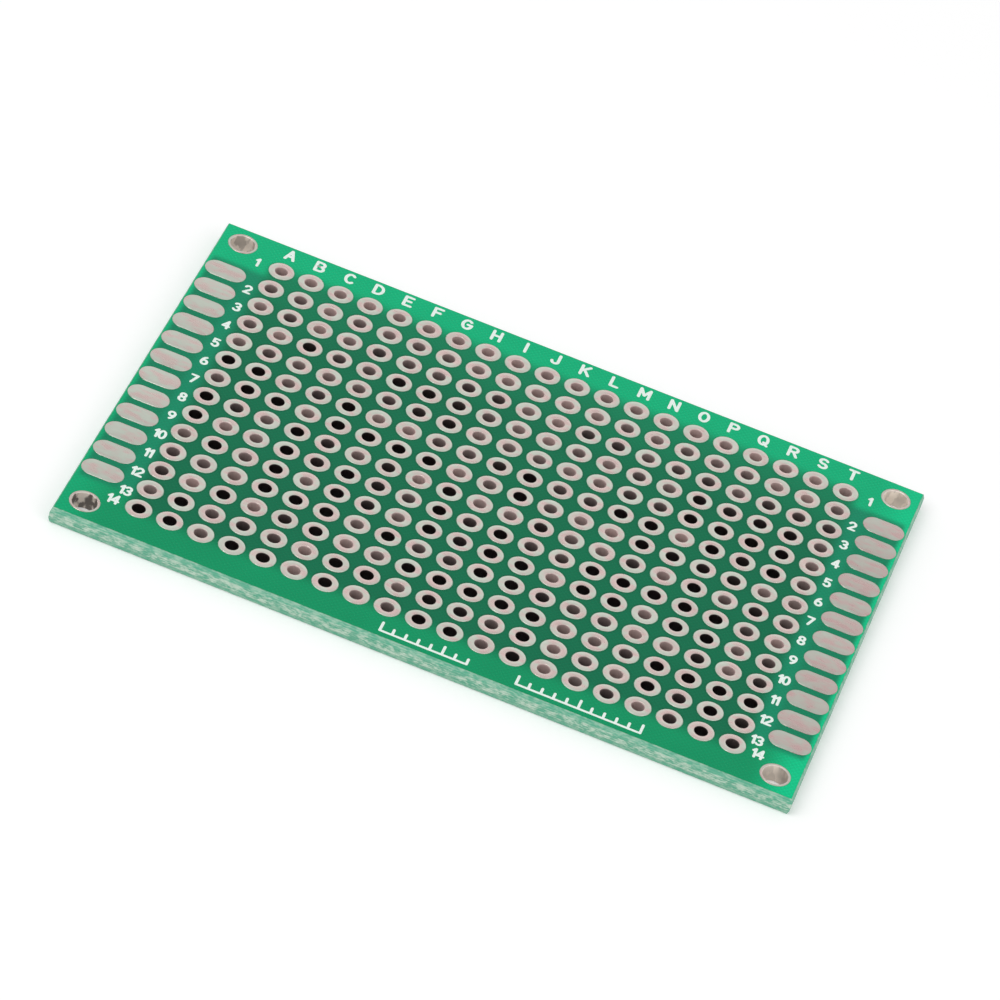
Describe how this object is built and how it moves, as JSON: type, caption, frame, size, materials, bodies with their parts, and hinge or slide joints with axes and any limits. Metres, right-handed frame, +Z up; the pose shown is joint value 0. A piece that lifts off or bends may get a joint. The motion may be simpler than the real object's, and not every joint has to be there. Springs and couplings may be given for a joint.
{
  "type": "prototype board",
  "caption": "Double-sided prototype circuit board: a flat rectangle with a grid of plated lead holes, rows of solder pads along both ends and plated corner holes.",
  "frame": {"origin": "centre of the board's outline, at its lowest metal", "axes": "+X along the board's length, +Y towards the lettered long edge, +Z up out of the shown face"},
  "size_m": [0.06, 0.04, 0.0016],
  "materials": {
    "glass_laminate": "glass-epoxy laminate, snapped rough at the edges",
    "solder_mask": "glossy green solder mask",
    "tinned_copper": "hot-air-levelled tin on copper",
    "legend_ink": "white printed ink"
  },
  "bodies": {
    "root": {"laminate": "glass_laminate", "solder_mask_top": "solder_mask", "solder_mask_bottom": "solder_mask", "hole_plating_a": "tinned_copper", "hole_plating_b": "tinned_copper", "hole_plating_c": "tinned_copper", "hole_plating_d": "tinned_copper", "hole_plating_e": "tinned_copper", "hole_plating_f": "tinned_copper", "hole_plating_g": "tinned_copper", "hole_plating_h": "tinned_copper", "hole_plating_i": "tinned_copper", "hole_plating_j": "tinned_copper", "hole_plating_k": "tinned_copper", "hole_plating_l": "tinned_copper", "hole_plating_m": "tinned_copper", "hole_plating_n": "tinned_copper", "hole_plating_o": "tinned_copper", "hole_plating_p": "tinned_copper", "hole_plating_q": "tinned_copper", "hole_plating_r": "tinned_copper", "hole_plating_s": "tinned_copper", "hole_plating_t": "tinned_copper", "corner_plating_front_left": "tinned_copper", "corner_plating_front_right": "tinned_copper", "corner_plating_rear_left": "tinned_copper", "corner_plating_rear_right": "tinned_copper", "end_pads_left_top": "tinned_copper", "end_pads_right_top": "tinned_copper", "end_pads_left_bottom": "tinned_copper", "end_pads_right_bottom": "tinned_copper"}
  },
  "joints": []
}
